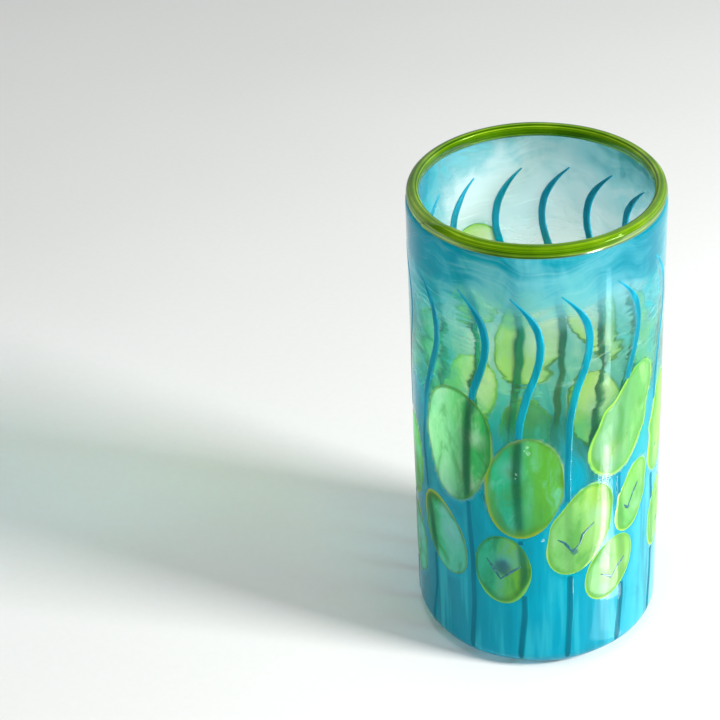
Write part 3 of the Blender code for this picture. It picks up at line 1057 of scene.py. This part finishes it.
# The pads at the front have a glass each, and those at the back share some of them
PAD_GLASS = (
    "milky green aqua bottle pinched small slim pear pinched small green "
    "aqua cream small cream cream cream pear cream cream milky aqua"
).split()

# The lines of the pinches on some pads, in mm across and up from the pad's middle
CREASES = {
    "pad_04": [(-8.3, 5.9), (-4.5, 0.5), (-0.8, -5.7), (4.5, -0.6), (9.7, 4.0)],
    "pad_05": [(-12.3, -3.4), (-8.6, -6.0), (-4.4, -12.5), (-0.6, -7.8), (0.6, -2.6), (6.9, 3.4)],
    "pad_06": [(-6.0, -2.0), (1.0, -6.5), (4.6, -1.2), (9.2, 2.7)],
    "pad_07": [(-6.0, -3.0), (-3.5, -6.4), (0.4, 1.0), (4.2, 6.2)],
}

BUBBLE_PAD = "pad_02"  # the bubbles' places are given from the middle of this pad
BUBBLES = [(1.7, 26.5, 0.9), (2.2, 22.9, 1.2), (0.4, 24.4, 0.6)]
BUBBLES += [(-3.8, 9.7, 0.7), (-4.1, 7.2, 0.5), (9.5, -30.9, 0.8)]


# ---------------- stage


STAGE_R = 6
STAGE_MIDDLE_R = 0.5
STAGE_SIDES = 96
STAGE_LEVEL = -0.2 * MM


def make_stage():
    """A wide pale floor."""
    r = Recipe("pale_floor")
    grain = r.noise(4 * MM)
    cloud = r.noise(300 * MM, detail=2)
    tone = r.plus(r.times(grain, 0.3), r.times(cloud, 0.7))
    base = r.ramp(tone, (0.3, colour(214, 215, 213)), (0.7, colour(220, 221, 220)))
    bump = r.node("Bump", {"Strength": 0.05, "Distance": 0.5 * MM, "Height": grain}).outputs[0]
    shader = r.node("BsdfPrincipled", {"Base Color": base, "Roughness": 0.55, "Normal": bump})
    r.node("OutputMaterial", {"Surface": shader.outputs[0]})
    angles = [360 * i / STAGE_SIDES for i in range(STAGE_SIDES)]
    outer = [at(angle, STAGE_LEVEL, STAGE_R) for angle in angles]
    inner = [at(angle, STAGE_LEVEL, STAGE_MIDDLE_R) for angle in angles]
    faces = []
    for i in range(STAGE_SIDES):
        after = (i + 1) % STAGE_SIDES
        faces.append((i, after, STAGE_SIDES + after, STAGE_SIDES + i))
    faces.append(tuple(range(STAGE_SIDES, 2 * STAGE_SIDES)))
    mesh = bpy.data.meshes.new("floor")
    mesh.from_pydata(outer + inner, [], faces)
    mesh.materials.append(r.material)
    floor = bpy.data.objects.new("floor", mesh)
    bpy.context.scene.collection.objects.link(floor)


WORLD_COLOUR = (0.98, 1.0, 0.99, 1)
WORLD_STRENGTH = 0.375


def make_world():
    world = bpy.data.worlds.new("studio")
    bpy.context.scene.world = world
    world.use_nodes = True
    back = world.node_tree.nodes["Background"]
    back.inputs["Color"].default_value = WORLD_COLOUR
    back.inputs["Strength"].default_value = WORLD_STRENGTH


AIM = 0.12  # the height on the vase's axis that the lights point at


def make_light(name, size, power):
    """A rectangular area light, not yet placed."""
    data = bpy.data.lights.new(name, "AREA")
    data.shape = "RECTANGLE"
    data.size, data.size_y = size
    data.energy = power
    light = bpy.data.objects.new(name, data)
    bpy.context.scene.collection.objects.link(light)
    return light


def hang_light(name, angle, elevation, distance, size, power, glossy=True):
    """A soft light at an angle round the vase, turned to a point on its axis."""
    light = make_light(name, size, power)
    light.location = at(angle, AIM + distance * sin(radians(elevation)), distance * cos(radians(elevation)))
    towards = Vector((0, 0, AIM)) - light.location
    light.rotation_euler = towards.to_track_quat("-Z", "Y").to_euler()
    light.visible_transmission = False
    light.visible_glossy = glossy


# The line of light that makes the tall highlight: where it begins, its direction, and its parts, each from a
# start to an end along the line with a width, in metres, and a radiance
STREAK_ANGLE = 35.5
STREAK_R = 0.075
STREAK_TURN = 60.6
STREAKS = {
    "streak_near": (0.004, 0.030, 0.010, 9),
    "streak_near_glow": (-0.004, 0.036, 0.026, 5),
    "streak_low": (0.030, 0.055, 0.015, 30),
    "streak_high": (0.055, 0.17, 0.021, 48),
    "streak_glow": (0.030, 0.19, 0.050, 16),
    "streak_top": (0.23, 0.36, 0.035, 16),
}


def lay_strip(name, start, end, width, radiance):
    """Part of the line of light, on the floor and facing up, seen only as a highlight on the wall."""
    strip = make_light(name, (width, end - start), radiance * pi * width * (end - start))
    strip.location = at(STREAK_ANGLE, MM, STREAK_R) + at(STREAK_TURN, 0, (start + end) / 2)
    strip.rotation_euler = Euler((pi, 0, radians(STREAK_TURN)))
    strip.visible_camera = False
    strip.visible_diffuse = False
    strip.visible_transmission = False


# The photograph's viewpoint, above and in front of the vase and a little to the left
CAMERA_PLACE = (-0.0889, -0.9214, 0.7780)
CAMERA_TILT = 56.01
CAMERA_ROLL = -3.10
CAMERA_LENS = 110.3


def make_camera():
    """The camera at the photograph's viewing angle."""
    data = bpy.data.cameras.new("camera")
    data.lens = CAMERA_LENS
    data.sensor_width = 36
    data.clip_start = 0.05
    data.clip_end = 50
    camera = bpy.data.objects.new("camera", data)
    camera.location = CAMERA_PLACE
    tilt = Matrix.Rotation(radians(CAMERA_TILT), 3, "X") @ Matrix.Rotation(radians(CAMERA_ROLL), 3, "Z")
    camera.rotation_euler = tilt.to_euler()
    bpy.context.scene.collection.objects.link(camera)
    bpy.context.scene.camera = camera


def set_rendering():
    """Enough bounces for light to pass several layers of glass."""
    bpy.context.scene.view_settings.view_transform = "Standard"
    cycles = bpy.context.scene.cycles
    cycles.max_bounces = 24
    cycles.transmission_bounces = 24
    cycles.transparent_max_bounces = 32
    cycles.glossy_bounces = 6
    cycles.diffuse_bounces = 4
    cycles.caustics_reflective = True
    cycles.caustics_refractive = True
    cycles.sample_clamp_indirect = 8
    cycles.use_denoising = True


make_wall(wall_glass())

pad_glasses = {name: pad_glass(name + "_pad_glass", style) for name, style in STYLES.items()}
for pad_name, glass in zip(pad_names, PAD_GLASS):
    make_pad(pad_name, pad_glasses[glass])
dark = crease_glass()
for pad_name, path in CREASES.items():
    make_crease(pad_name, path, dark)

clear = bubble_glass()
for number, along in enumerate(BUBBLES, 1):
    make_bubble(number, along, clear)

teal = cane_glass()
for cane_name in cane_names:
    make_cane(cane_name, teal)

make_wrap(wrap_glass())

make_stage()
make_world()
hang_light("key", angle=66, elevation=31, distance=1.5, size=(0.34, 0.26), power=40)
hang_light("top", angle=0, elevation=88, distance=1.5, size=(0.6, 0.6), power=7, glossy=False)
hang_light("fill", angle=-42, elevation=6, distance=1.6, size=(0.9, 0.5), power=9, glossy=False)
for strip_name, strip in STREAKS.items():
    lay_strip(strip_name, *strip)
make_camera()
set_rendering()
